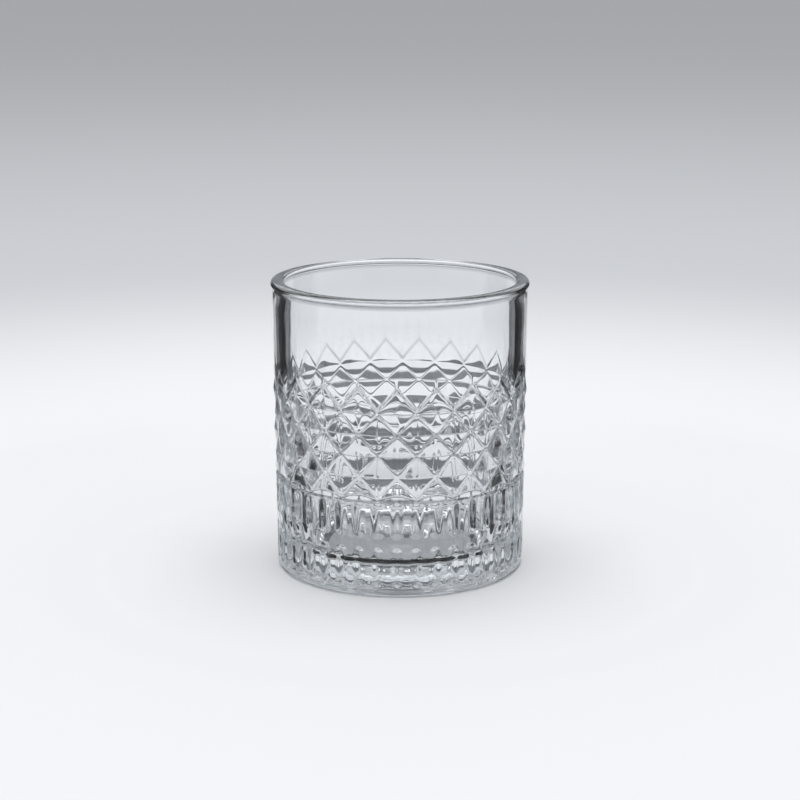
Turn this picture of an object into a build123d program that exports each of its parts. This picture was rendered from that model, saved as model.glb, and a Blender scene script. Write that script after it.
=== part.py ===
"""Whiskey tumbler, one piece of pressed clear glass.

Millimetres, +Z up. The origin is the centre of the plane the foot rests on.
"""

import math
import os

from build123d import *

# Overall size
HEIGHT = 93.0
RIM_RADIUS = 41.0
BASE_RADIUS = 39.7
WALL_TOP_RADIUS = 40.42
WALL_TOP_Z = 90.4

# Lip: a flat top a little wider than the wall, slightly domed, with rounded edges
LIP_WIDTH = 4.3
LIP_EDGE = 1.15
LIP_DOME = 0.12
LIP_UNDERCUT = 35.0

# Inside: nearly upright behind the plain wall, then leaning inwards down to the floor
FLOOR_Z = 7.2
FLOOR_CORNER = 6.0
UPRIGHT_Z = 70.0
UPRIGHT_TAPER = 0.5
LEAN_Z = 46.0
LEAN = 7.5

# Foot
FOOT_OUTER = 38.1
FOOT_INNER = 35.5
FOOT_CORNER = 1.6
UNDERSIDE_RISE = 1.6

# Band of raised diamonds
DIAMONDS = 21
ROWS = 5
ROW_PITCH = 6.6
FIRST_ROW_Z = 58.0
DIAMOND_HEIGHT = 0.9
DIAMOND_PROUD = 0.3
DIAMOND_DEEP = 2.0
CREST = 0.02

# Cove that ends the diamonds above the flutes
COVE_Z = 30.6
COVE_DEPTH = 0.75
COVE_TOP_Z = 34.2
SHOULDER_Z = 29.9

# Two tiers of short flutes
FLUTES = 2 * DIAMONDS
FLUTE_RADIUS = 2.06
FLUTE_DEPTH = 0.9
UPPER_TIER = (19.0, 30.3)
LOWER_TIER = (3.4, 15.8)

# The pattern is turned by this much about the axis
PATTERN_TURN = -1.35

SECTOR = 360.0 / DIAMONDS
FRONT = -90.0 + PATTERN_TURN


def wall_radius(z):
    """Outer radius of the plain tapered wall at a height."""
    return BASE_RADIUS + (WALL_TOP_RADIUS - BASE_RADIUS) * z / WALL_TOP_Z


def on_arc(centre, radius, degrees):
    """Point of the half section on a circle, the angle measured up from straight out."""
    a = math.radians(degrees)
    return (centre[0] + radius * math.cos(a), centre[1] + radius * math.sin(a))


def radial_plane(angle, radius, z):
    """Plane square to the radius at an angle: its X runs round, its Y runs up."""
    a = math.radians(angle)
    return Plane(
        origin=(radius * math.cos(a), radius * math.sin(a), z),
        x_dir=(-math.sin(a), math.cos(a), 0),
        z_dir=(math.cos(a), math.sin(a), 0),
    )


BAND_LOW_Z = COVE_Z - 0.4
VALLEY = wall_radius(FIRST_ROW_Z - 2 * ROW_PITCH) + DIAMOND_PROUD - DIAMOND_HEIGHT
FLUTE_REACH = math.sqrt(FLUTE_RADIUS**2 - (FLUTE_RADIUS - FLUTE_DEPTH) ** 2)

lip_z = HEIGHT - LIP_DOME - LIP_EDGE
lip_out = (RIM_RADIUS - LIP_EDGE, lip_z)
lip_in = (RIM_RADIUS - LIP_WIDTH + LIP_EDGE, lip_z)
upright_top = on_arc(lip_in, LIP_EDGE, 180)
upright_foot = (
    upright_top[0] - (lip_z - UPRIGHT_Z) * math.tan(math.radians(UPRIGHT_TAPER)),
    UPRIGHT_Z,
)
taper_sine = math.sin(math.radians(UPRIGHT_TAPER))
lean_radius = (UPRIGHT_Z - LEAN_Z) / (math.sin(math.radians(LEAN)) - taper_sine)
lean_centre = (
    upright_foot[0] - lean_radius * math.cos(math.radians(UPRIGHT_TAPER)),
    UPRIGHT_Z + lean_radius * taper_sine,
)
lean_top = on_arc(lean_centre, lean_radius, -LEAN)
corner_z = FLOOR_Z + FLOOR_CORNER * (1 - math.sin(math.radians(LEAN)))
corner_x = lean_top[0] - (LEAN_Z - corner_z) * math.tan(math.radians(LEAN))
corner_centre = (
    corner_x - FLOOR_CORNER * math.cos(math.radians(LEAN)),
    FLOOR_Z + FLOOR_CORNER,
)

# Half section of the body, the plain wall standing in for the patterned one
with BuildPart() as body:
    with BuildSketch(Plane.XZ):
        with BuildLine():
            Polyline(
                (0, UNDERSIDE_RISE),
                (FOOT_INNER - 4.0, UNDERSIDE_RISE * 0.8),
                (FOOT_INNER, 0),
                (FOOT_OUTER, 0),
            )
            ThreePointArc(
                (FOOT_OUTER, 0),
                (
                    FOOT_OUTER + FOOT_CORNER * math.sin(math.pi / 4),
                    FOOT_CORNER * (1 - math.cos(math.pi / 4)),
                ),
                (BASE_RADIUS, FOOT_CORNER),
            )
            Polyline(
                (BASE_RADIUS, FOOT_CORNER),
                (WALL_TOP_RADIUS, WALL_TOP_Z),
                on_arc(lip_out, LIP_EDGE, -LIP_UNDERCUT),
            )
            ThreePointArc(
                on_arc(lip_out, LIP_EDGE, -LIP_UNDERCUT),
                on_arc(lip_out, LIP_EDGE, 30),
                on_arc(lip_out, LIP_EDGE, 90),
            )
            ThreePointArc(
                on_arc(lip_out, LIP_EDGE, 90),
                (RIM_RADIUS - LIP_WIDTH / 2, HEIGHT),
                on_arc(lip_in, LIP_EDGE, 90),
            )
            ThreePointArc(
                on_arc(lip_in, LIP_EDGE, 90),
                on_arc(lip_in, LIP_EDGE, 135),
                upright_top,
            )
            Line(upright_top, upright_foot)
            ThreePointArc(
                upright_foot,
                on_arc(lean_centre, lean_radius, -(UPRIGHT_TAPER + LEAN) / 2),
                lean_top,
            )
            Line(lean_top, (corner_x, corner_z))
            ThreePointArc(
                (corner_x, corner_z),
                on_arc(corner_centre, FLOOR_CORNER, -45),
                (corner_centre[0], FLOOR_Z),
            )
            Polyline(
                (corner_centre[0], FLOOR_Z),
                (0, FLOOR_Z),
                (0, UNDERSIDE_RISE),
            )
        make_face()
    revolve(axis=Axis.Z)

# One column of diamonds: odd rows on the middle, even rows half a sector round
peak = VALLEY + DIAMOND_HEIGHT
half_width = VALLEY * math.sin(math.radians(SECTOR / 2))
side_fall = peak - VALLEY * math.cos(math.radians(SECTOR / 2))
with BuildPart() as column:
    for row in range(ROWS):
        turn = FRONT + (row % 2) * SECTOR / 2
        row_z = FIRST_ROW_Z - row * ROW_PITCH
        wide = half_width * DIAMOND_DEEP / side_fall
        tall = ROW_PITCH * DIAMOND_DEEP / DIAMOND_HEIGHT
        with BuildSketch(radial_plane(turn, peak - DIAMOND_DEEP, row_z)):
            with BuildLine():
                Polyline((wide, 0), (0, tall), (-wide, 0), (0, -tall), close=True)
            make_face()
        with BuildSketch(radial_plane(turn, peak, row_z)):
            with BuildLine():
                Polyline(
                    (wide * CREST, 0),
                    (0, tall * CREST),
                    (-wide * CREST, 0),
                    (0, -tall * CREST),
                    close=True,
                )
            make_face()
        loft()

# Tool that lowers the wall to the valleys under the first row's upper halves
with BuildPart() as gable:
    with BuildSketch(radial_plane(FRONT, VALLEY, FIRST_ROW_Z)):
        with BuildLine():
            Polyline(
                (half_width, -0.2),
                (half_width, 0),
                (0, ROW_PITCH),
                (-half_width, 0),
                (-half_width, -0.2),
                close=True,
            )
        make_face()
    extrude(amount=3.0)

# Tool for one pair of flutes, a ball-ended cutter run down each tier
with BuildPart() as flute:
    for low, high in (UPPER_TIER, LOWER_TIER):
        middle = (low + high) / 2
        reach = (high - low) / 2 - FLUTE_REACH
        axis_radius = wall_radius(middle) - FLUTE_DEPTH + FLUTE_RADIUS
        with Locations(radial_plane(FRONT, axis_radius, middle)):
            Cylinder(FLUTE_RADIUS, 2 * reach, rotation=(90, 0, 0))
        for end in (low + FLUTE_REACH, high - FLUTE_REACH):
            with Locations(radial_plane(FRONT, axis_radius, end)):
                Sphere(FLUTE_RADIUS)

with BuildPart() as tumbler:
    add(body.part)
    # lower the band to the valleys
    with BuildSketch(Plane.XZ):
        with BuildLine():
            Polyline(
                (VALLEY, BAND_LOW_Z),
                (RIM_RADIUS + 2, BAND_LOW_Z),
                (RIM_RADIUS + 2, FIRST_ROW_Z),
                (VALLEY, FIRST_ROW_Z),
                close=True,
            )
        make_face()
    revolve(axis=Axis.Z, mode=Mode.SUBTRACT)
    with PolarLocations(0, DIAMONDS):
        add(gable.part, mode=Mode.SUBTRACT)
    # raise the diamonds
    with PolarLocations(0, DIAMONDS):
        add(column.part)
    # cut the cove under the last row and clear what hangs below it
    with BuildSketch(Plane.XZ):
        with BuildLine():
            Polyline(
                (wall_radius(COVE_Z) - COVE_DEPTH, COVE_Z),
                (wall_radius(COVE_TOP_Z) + COVE_DEPTH, COVE_TOP_Z),
                (RIM_RADIUS + 3, COVE_TOP_Z),
                (RIM_RADIUS + 3, FOOT_CORNER),
                (wall_radius(FOOT_CORNER), FOOT_CORNER),
                (wall_radius(SHOULDER_Z), SHOULDER_Z),
                close=True,
            )
        make_face()
    revolve(axis=Axis.Z, mode=Mode.SUBTRACT)
    with PolarLocations(0, FLUTES):
        add(flute.part, mode=Mode.SUBTRACT)

tumbler.part.label = "tumbler_glass"

os.makedirs("parts", exist_ok=True)
export_step(tumbler.part, "parts/tumbler_glass.step")
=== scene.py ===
"""Whiskey tumbler: one piece of pressed clear glass on a pale studio floor.

Lengths of the glass are in millimetres until its mesh is made; everything else is in metres.
"""

import math

import bpy
import numpy as np
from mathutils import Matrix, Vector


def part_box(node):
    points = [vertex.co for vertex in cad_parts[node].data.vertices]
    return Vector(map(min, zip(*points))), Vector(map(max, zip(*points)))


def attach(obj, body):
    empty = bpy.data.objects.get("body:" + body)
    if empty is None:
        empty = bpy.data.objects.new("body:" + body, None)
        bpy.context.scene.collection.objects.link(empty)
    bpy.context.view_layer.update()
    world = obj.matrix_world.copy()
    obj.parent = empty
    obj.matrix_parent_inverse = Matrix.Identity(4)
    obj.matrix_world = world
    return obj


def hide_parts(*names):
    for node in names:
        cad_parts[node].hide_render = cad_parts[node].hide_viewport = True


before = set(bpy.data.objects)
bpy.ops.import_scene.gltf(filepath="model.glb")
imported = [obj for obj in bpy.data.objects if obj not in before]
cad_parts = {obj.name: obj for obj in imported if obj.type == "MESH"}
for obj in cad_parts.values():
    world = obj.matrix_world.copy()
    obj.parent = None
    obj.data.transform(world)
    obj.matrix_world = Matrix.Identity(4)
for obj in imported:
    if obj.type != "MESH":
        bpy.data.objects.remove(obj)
scene = bpy.context.scene
scene.view_settings.view_transform = "Standard"
scene.cycles.max_bounces = 24
scene.cycles.transmission_bounces = 24
scene.cycles.glossy_bounces = 12
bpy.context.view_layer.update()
foot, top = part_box("tumbler_glass")

# Overall size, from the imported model
HEIGHT = top.z * 1000
RIM_RADIUS = top.x * 1000

# Outer wall without its relief
BASE_RADIUS = 39.7
WALL_TOP_RADIUS = 40.42
WALL_TOP_Z = 90.4

# Lip: a flat top a little wider than the wall, slightly domed, with rounded edges.
# Its outer edge curls under by LIP_UNDERCUT radians past the widest point.
LIP_WIDTH = 4.3
LIP_EDGE = 1.15
LIP_DOME = 0.12
LIP_UNDERCUT = 0.6

# Inside: nearly upright behind the plain wall, then leaning inwards down to the floor
FLOOR_Z = 7.2
FLOOR_CORNER = 6.0
UPRIGHT_Z = 70.0
UPRIGHT_TAPER = math.radians(0.5)
LEAN_Z = 46.0
LEAN = math.radians(7.5)

# Foot: a rounded corner, a ring to rest on, and a shallow hollow given by radius and height
FOOT_CORNER = 1.6
FOOT_CORNER_RISE = 2.0
UNDERSIDE = ((35.5, 0.0), (34.5, 0.25), (33.0, 0.8), (25.0, 1.3), (12.0, 1.6), (1.0, 1.7))

# Band of raised diamonds. The first row's upper halves are pockets that end at the gables.
DIAMONDS = 21
ROW_PITCH = 6.6
FIRST_ROW_Z = 58.0
DIAMOND_HEIGHT = 0.9
DIAMOND_PROUD = 0.3
GABLE_EASE = 0.3
POCKET_EDGE = 0.3
CROWN_SOFTNESS = 0.15
VALLEY_SHARPNESS = 12
PATTERN_TOP_Z = FIRST_ROW_Z + 1.2 * ROW_PITCH

# Cove that ends the diamonds above the flutes
COVE_Z = 30.6
COVE_DEPTH = 0.75
COVE_SLOPE = 0.42

# Two tiers of short flutes, two flutes to a diamond
FLUTE_DEPTH = 0.9
FLUTE_HALF_WIDTH = 1.7
FLUTE_PITCH = math.pi * BASE_RADIUS / DIAMONDS
FLUTE_TIERS = ((19.0, 30.3), (3.4, 15.8))

PATTERN_TURN = math.radians(-1.35)
COLUMNS_PER_DIAMOND = 28
ROWS_PER_DIAMOND = 32
CROWDING = 0.35


def crowd(t):
    """Spreads even steps so that they crowd together at whole and half numbers, where the ridges are."""
    return t - CROWDING * np.sin(4 * np.pi * t) / (4 * np.pi)


def smooth_step(x):
    x = np.clip(x, 0, 1)
    return x * x * (3 - 2 * x)


def plain_wall(z):
    return BASE_RADIUS + (WALL_TOP_RADIUS - BASE_RADIUS) * np.clip(z / WALL_TOP_Z, 0, 1)


def diamond_rise(turns, steps):
    """Height of the diamond band, 0 to 1. steps counts diamonds up from the first row's middle."""
    left = np.floor(turns + steps)
    right = np.floor(turns - steps)
    total = np.where(steps > 0, 1.0, 0.0) * np.ones_like(turns)
    for i in (0, 1):
        for j in (0, 1):
            across = turns - (left + i + right + j) / 2
            row = (left + i - right - j) / 2
            crown = np.sqrt(across**2 + CROWN_SOFTNESS**2) - CROWN_SOFTNESS
            crown = crown / (math.sqrt(0.25 + CROWN_SOFTNESS**2) - CROWN_SOFTNESS)
            rise = 1 - crown - 2 * np.abs(steps - row)
            total = total + np.where(row < 0.25, np.exp(VALLEY_SHARPNESS * rise), 0)
    return np.log(total) / VALLEY_SHARPNESS


def flute(around_mm, z, low, high):
    """0 to 1: depth of one tier of round-ended hollows, by distance from each one's middle line."""
    reach = (high - low) / 2 - FLUTE_HALF_WIDTH
    along = np.maximum(np.abs(z - (low + high) / 2) - reach, 0)
    u = np.clip(np.hypot(around_mm, along) / FLUTE_HALF_WIDTH, 0, 1)
    return 0.5 * np.sqrt(1 - u**2) + 0.25 * (1 + np.cos(np.pi * u))


def outer_radius(turns, z):
    """Radius of the patterned outer wall. turns counts diamonds round from the front."""
    wall = plain_wall(z)
    if z < COVE_Z:
        around = (turns * 2 - np.round(turns * 2)) * FLUTE_PITCH
        hollow = np.maximum(*(flute(around, z, low, high) for low, high in FLUTE_TIERS))
        return wall - FLUTE_DEPTH * hollow
    if z > PATTERN_TOP_Z:
        return wall
    steps = (z - FIRST_ROW_Z) / (2 * ROW_PITCH)
    height = DIAMOND_HEIGHT - GABLE_EASE * smooth_step(2 * steps)
    offset = height * diamond_rise(turns, steps) + DIAMOND_PROUD - height
    if steps > 0:
        inside_gable = 1 - 2 * np.abs(turns - np.round(turns)) - 2 * steps
        sunk = smooth_step(1 + inside_gable / POCKET_EDGE)
        offset = np.maximum(offset, (DIAMOND_PROUD - height) * sunk)
    return np.minimum(wall + offset, wall - COVE_DEPTH + (z - COVE_Z) * COVE_SLOPE)


def arc(centre, radius, start, end, count):
    """Points of the half section on a circle, the angles measured down from straight out."""
    angles = np.linspace(start, end, count)
    return [(centre[0] + radius * math.cos(a), centre[1] - radius * math.sin(a)) for a in angles]


def line(start, end, fractions):
    """Points of the half section between two others."""
    return [tuple(a + (b - a) * f for a, b in zip(start, end)) for f in fractions]


def inner_profile(upright_radius):
    """Half section of the inside, from where it starts to lean to the middle of the floor."""
    lean_radius = (UPRIGHT_Z - LEAN_Z) / (math.sin(LEAN) - math.sin(UPRIGHT_TAPER))
    lean_centre = (
        upright_radius - lean_radius * math.cos(UPRIGHT_TAPER),
        UPRIGHT_Z + lean_radius * math.sin(UPRIGHT_TAPER),
    )
    profile = arc(lean_centre, lean_radius, UPRIGHT_TAPER, LEAN, 14)
    corner_z = FLOOR_Z + FLOOR_CORNER * (1 - math.sin(LEAN))
    corner_radius = profile[-1][0] - (LEAN_Z - corner_z) * math.tan(LEAN)
    profile += line(profile[-1], (corner_radius, corner_z), (0.2, 0.4, 0.6, 0.8))
    corner_centre = (corner_radius - FLOOR_CORNER * math.cos(LEAN), FLOOR_Z + FLOOR_CORNER)
    profile += arc(corner_centre, FLOOR_CORNER, LEAN, math.pi / 2, 9)
    return profile + line((0, FLOOR_Z), (corner_centre[0], FLOOR_Z), (0.75, 0.5, 0.25, 0.03))


def lip_profile(upright_radius):
    """Half section from where the inside starts to lean, up over the lip to the plain wall."""
    lip_inner = RIM_RADIUS - LIP_WIDTH
    lip_z = HEIGHT - LIP_DOME - LIP_EDGE
    profile = line((upright_radius, UPRIGHT_Z), (lip_inner, HEIGHT - LIP_EDGE), (0.33, 0.67))
    profile += arc((lip_inner + LIP_EDGE, lip_z), LIP_EDGE, math.pi, 1.5 * math.pi, 7)
    profile.append((RIM_RADIUS - LIP_WIDTH / 2, HEIGHT))
    profile += arc((RIM_RADIUS - LIP_EDGE, lip_z), LIP_EDGE, -math.pi / 2, LIP_UNDERCUT, 9)
    return profile + [(WALL_TOP_RADIUS, WALL_TOP_Z - 0.1)]


# Heights of the rings down the outside, closer together where the relief turns
diamond_steps = np.arange(ROWS_PER_DIAMOND // 2 + 4, -ROWS_PER_DIAMOND * 3, -1) / ROWS_PER_DIAMOND
diamond_rings = FIRST_ROW_Z + 2 * ROW_PITCH * crowd(diamond_steps)
diamond_rings = [z for z in diamond_rings if z > COVE_Z + 0.05]
outer_rings = [
    *np.linspace(WALL_TOP_Z - 0.8, diamond_rings[0] + 0.4, 10),
    *diamond_rings,
    *np.linspace(COVE_Z, 29.0, 6),
    *np.linspace(28.6, 21.5, 8),
    *np.linspace(21.0, 14.4, 18),
    *np.linspace(13.9, 6.5, 8),
    *np.linspace(6.1, FOOT_CORNER_RISE, 12),
]

# Rings of the whole surface, each a radius and a height: from the middle of the inner floor
# over the lip and down the outside to the middle of the underside
columns = DIAMONDS * COLUMNS_PER_DIAMOND
turns = crowd(np.arange(columns) / COLUMNS_PER_DIAMOND)
upright_drop = HEIGHT - LIP_EDGE - UPRIGHT_Z
upright_radius = RIM_RADIUS - LIP_WIDTH - upright_drop * math.tan(UPRIGHT_TAPER)
rings = inner_profile(upright_radius)[::-1] + lip_profile(upright_radius)
first_outer_ring = len(rings)
rings += [(outer_radius(turns, z), z) for z in outer_rings]
for a in np.linspace(0, math.pi / 2, 6)[1:]:
    radius = outer_radius(turns, FOOT_CORNER_RISE) - FOOT_CORNER * (1 - math.cos(a))
    rings.append((radius, FOOT_CORNER_RISE * (1 - math.sin(a))))
rings += UNDERSIDE

angle = turns * 2 * math.pi / DIAMONDS + PATTERN_TURN
points = np.empty((len(rings), columns, 3))
for i, (radius, z) in enumerate(rings):
    points[i, :, 0] = radius * np.sin(angle)
    points[i, :, 1] = -radius * np.cos(angle)
    points[i, :, 2] = z

# Each quad of the diamond band is split along the valley that crosses it
index = np.arange(len(rings) * columns).reshape(len(rings), columns)
faces = []
for i in range(len(rings) - 1):
    upper, lower = index[i], index[i + 1]
    z = (rings[i][1] + rings[i + 1][1]) / 2
    banded = i >= first_outer_ring and COVE_Z < z < diamond_rings[0]
    rise = (z - FIRST_ROW_Z) / (2 * ROW_PITCH)
    for j in range(columns):
        k = (j + 1) % columns
        a, b, c, d = int(upper[j]), int(upper[k]), int(lower[k]), int(lower[j])
        if not banded:
            faces.append((a, b, c, d))
            continue
        middle = (turns[j] + (turns[k] if k else DIAMONDS)) / 2
        falls = [abs(abs(x - round(x)) - 0.5) for x in (middle + rise, middle - rise)]
        if falls[0] < falls[1]:
            faces += [(a, b, c), (a, c, d)]
        else:
            faces += [(a, b, d), (b, c, d)]
faces.append(tuple(index[0].tolist()))
faces.append(tuple(index[-1][::-1].tolist()))

mesh = bpy.data.meshes.new("glass_body")
mesh.from_pydata((points.reshape(-1, 3) * 0.001).tolist(), [], faces)
mesh.polygons.foreach_set("use_smooth", [True] * len(mesh.polygons))
mesh.flip_normals()
mesh.update()
glass = bpy.data.objects.new("glass_body", mesh)
scene.collection.objects.link(glass)
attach(glass, "root")
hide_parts("tumbler_glass")


def new_material(name):
    material = bpy.data.materials.new(name)
    material.use_nodes = True
    return material, material.node_tree, material.node_tree.nodes["Principled BSDF"]


def map_range(tree, source, low, high, smooth=True):
    """Node that turns low to high into 0 to 1."""
    node = tree.nodes.new("ShaderNodeMapRange")
    if smooth:
        node.interpolation_type = "SMOOTHSTEP"
    node.inputs["From Min"].default_value = low
    node.inputs["From Max"].default_value = high
    tree.links.new(source, node.inputs["Value"])
    return node


def from_place(tree, kind):
    """Node of this kind, fed with the place on the object."""
    place = tree.nodes.new("ShaderNodeTexCoord")
    node = tree.nodes.new(kind)
    tree.links.new(place.outputs["Object"], node.inputs[0])
    return node


def distance_out(tree):
    """Output that gives the distance from the object's origin."""
    node = from_place(tree, "ShaderNodeVectorMath")
    node.operation = "LENGTH"
    return node.outputs["Value"]


def height_up(tree):
    """Output that gives the height above the object's origin."""
    return from_place(tree, "ShaderNodeSeparateXYZ").outputs["Z"]


def clear_glass():
    """Clear soda-lime glass with the faint waviness that pressing leaves."""
    material, tree, shader = new_material("clear_glass")
    shader.inputs["Base Color"].default_value = (0.985, 0.992, 1.0, 1)
    shader.inputs["Transmission Weight"].default_value = 1
    shader.inputs["IOR"].default_value = 1.52
    wave = from_place(tree, "ShaderNodeTexNoise")
    wave.inputs["Scale"].default_value = 90
    wave.inputs["Detail"].default_value = 2
    bump = tree.nodes.new("ShaderNodeBump")
    bump.inputs["Strength"].default_value = 0.25
    bump.inputs["Distance"].default_value = 0.00012
    tree.links.new(wave.outputs["Fac"], bump.inputs["Height"])
    tree.links.new(bump.outputs["Normal"], shader.inputs["Normal"])
    haze = map_range(tree, wave.outputs["Fac"], 0.45, 0.75, smooth=False)
    haze.inputs["To Max"].default_value = 0.02
    tree.links.new(haze.outputs["Result"], shader.inputs["Roughness"])
    depth = tree.nodes.new("ShaderNodeVolumeAbsorption")
    depth.inputs["Color"].default_value = (0.81, 0.835, 0.85, 1)
    depth.inputs["Density"].default_value = 18
    tree.links.new(depth.outputs["Volume"], tree.nodes["Material Output"].inputs["Volume"])
    return material


def floor_paint_with_painted_shade():
    """Palest round the glass, with painted shade that makes it greyer further out."""
    material, tree, shader = new_material("floor_with_painted_shade")
    # Painted shade: the floor's colour darkens from 0.24 m to 0.60 m out, so the glass refracts a greyer
    # surround
    painted_shade_mask = map_range(tree, distance_out(tree), 0.24, 0.60)
    shade = tree.nodes.new("ShaderNodeValToRGB")
    shade.color_ramp.elements[0].color = (0.85, 0.86, 0.88, 1)
    shade.color_ramp.elements[1].color = (0.60, 0.61, 0.635, 1)
    tree.links.new(painted_shade_mask.outputs["Result"], shade.inputs[0])
    tree.links.new(shade.outputs[0], shader.inputs["Base Color"])
    shader.inputs["Roughness"].default_value = 0.8
    return material


def card_paint(name, grey, fade=None, flat=False):
    """Matt grey. fade says where the card starts, is solid, starts to thin and ends.

    It is in height, or in distance from the axis if the card lies flat.
    """
    material, tree, shader = new_material(name)
    shader.inputs["Base Color"].default_value = (grey * 0.92, grey * 0.97, grey * 1.05, 1)
    shader.inputs["Roughness"].default_value = 0.9
    if fade is None:
        return material
    distance = distance_out(tree) if flat else height_up(tree)
    both = tree.nodes.new("ShaderNodeMath")
    both.operation = "MULTIPLY"
    for i, (clear, solid) in enumerate(((fade[0], fade[1]), (fade[3], fade[2]))):
        edge = map_range(tree, distance, clear, solid)
        tree.links.new(edge.outputs["Result"], both.inputs[i])
    tree.links.new(both.outputs[0], shader.inputs["Alpha"])
    return material


def card(name, near, far, start, end, material):
    """Card swept round the glass between two edges, each a radius and a height.

    It runs from start to end, in degrees from straight behind. Only light that has met the
    glass can see it.
    """
    steps = max(8, round(abs(end - start) / 2))
    verts = []
    for i in range(steps + 1):
        a = math.radians(start + (end - start) * i / steps)
        for radius, z in (near, far):
            verts.append((radius * math.sin(a), radius * math.cos(a), z))
    quads = [(2 * i, 2 * i + 2, 2 * i + 3, 2 * i + 1) for i in range(steps)]
    card_mesh = bpy.data.meshes.new(name)
    card_mesh.from_pydata(verts, [], quads)
    card_mesh.materials.append(material)
    obj = bpy.data.objects.new(name, card_mesh)
    scene.collection.objects.link(obj)
    obj.visible_camera = False
    obj.visible_diffuse = False
    obj.visible_shadow = False


mesh.materials.append(clear_glass())

# Floor, just under the foot, with painted shade further out
bpy.ops.mesh.primitive_plane_add(size=30, location=(0, 0, foot.z - 0.00005))
floor = bpy.context.object
floor.name = "floor_with_painted_shade"
floor.data.materials.append(floor_paint_with_painted_shade())

# Surround: pale to a little above the horizon, dark overhead
world = bpy.data.worlds.new("studio_world")
world.use_nodes = True
scene.world = world
tree = world.node_tree
place = tree.nodes.new("ShaderNodeTexCoord")
split = tree.nodes.new("ShaderNodeSeparateXYZ")
ramp = tree.nodes.new("ShaderNodeValToRGB")
tree.links.new(place.outputs["Generated"], split.inputs[0])
tree.links.new(split.outputs["Z"], ramp.inputs[0])
tree.links.new(ramp.outputs[0], tree.nodes["Background"].inputs["Color"])
stops = ramp.color_ramp.elements
for position in (0.5, 0.8):
    stops.new(position)
for stop, grey in zip(stops, (1.05, 1.0, 0.3, 0.1)):
    stop.color = (grey * 0.97, grey * 0.985, grey, 1)

light = bpy.data.lights.new("overhead_softbox", "AREA")
light.size = 1.4
light.energy = 17
lamp = bpy.data.objects.new("overhead_softbox", light)
lamp.location = (0, 0, 1.6)
scene.collection.objects.link(lamp)

ALL_ROUND = (-180, 180)

# Grey bands all round the glass, which give the faces of the diamonds their dark side
for name, radius, grey, fade in (
    ("upper_card", 0.0585, 0.16, (0.0498, 0.0505, 0.0520, 0.0526)),
    ("middle_card", 0.1085, 0.18, (0.0324, 0.0336, 0.0356, 0.0362)),
    ("lower_card", 0.122, 0.18, (0.0195, 0.0210, 0.0245, 0.0262)),
    ("low_card", 0.122, 0.15, (0.0, 0.0005, 0.0080, 0.0098)),
):
    card(name, (radius, fade[0]), (radius, fade[3]), *ALL_ROUND, card_paint(name, grey, fade))

# Grey rings on the floor, for the lower rows of diamonds
mat_z = foot.z - 0.00001
for name, fade in (
    ("inner_mat", (0.081, 0.084, 0.091, 0.094)),
    ("outer_mat", (0.098, 0.102, 0.113, 0.117)),
):
    paint = card_paint(name, 0.13, fade, flat=True)
    card(name, (fade[0], mat_z), (fade[3], mat_z), *ALL_ROUND, paint)

# Dark rings under the foot and in front of it, for the edge of the inner floor and the flutes
dark = card_paint("dark_card", 0.015)
under_z = foot.z - 0.00002
card("foot_mat", (0.025, under_z), (0.040, under_z), *ALL_ROUND, dark)
card("near_mat", (0.050, under_z), (0.095, under_z), 65, 295, dark)

# Cards further off, for the lip and for the dark bands down both sides of the glass
card("rim_card", (0.30, 0.096), (0.30, 0.165), -70, 70, card_paint("rim_card", 0.25))
black = card_paint("black_card", 0.01)
card("left_card", (0.21, 0.001), (0.21, 0.15), -75, -29, black)
card("right_card", (0.21, 0.001), (0.21, 0.15), 29, 75, black)

# Camera
lens = bpy.data.cameras.new("camera")
lens.sensor_width = 36
lens.lens = 90.17
camera = bpy.data.objects.new("camera", lens)
camera.location = (0, -0.6255, 0.2007)
camera.rotation_euler = (math.radians(90 - 13.26), 0, 0)
scene.collection.objects.link(camera)
bpy.context.scene.camera = camera
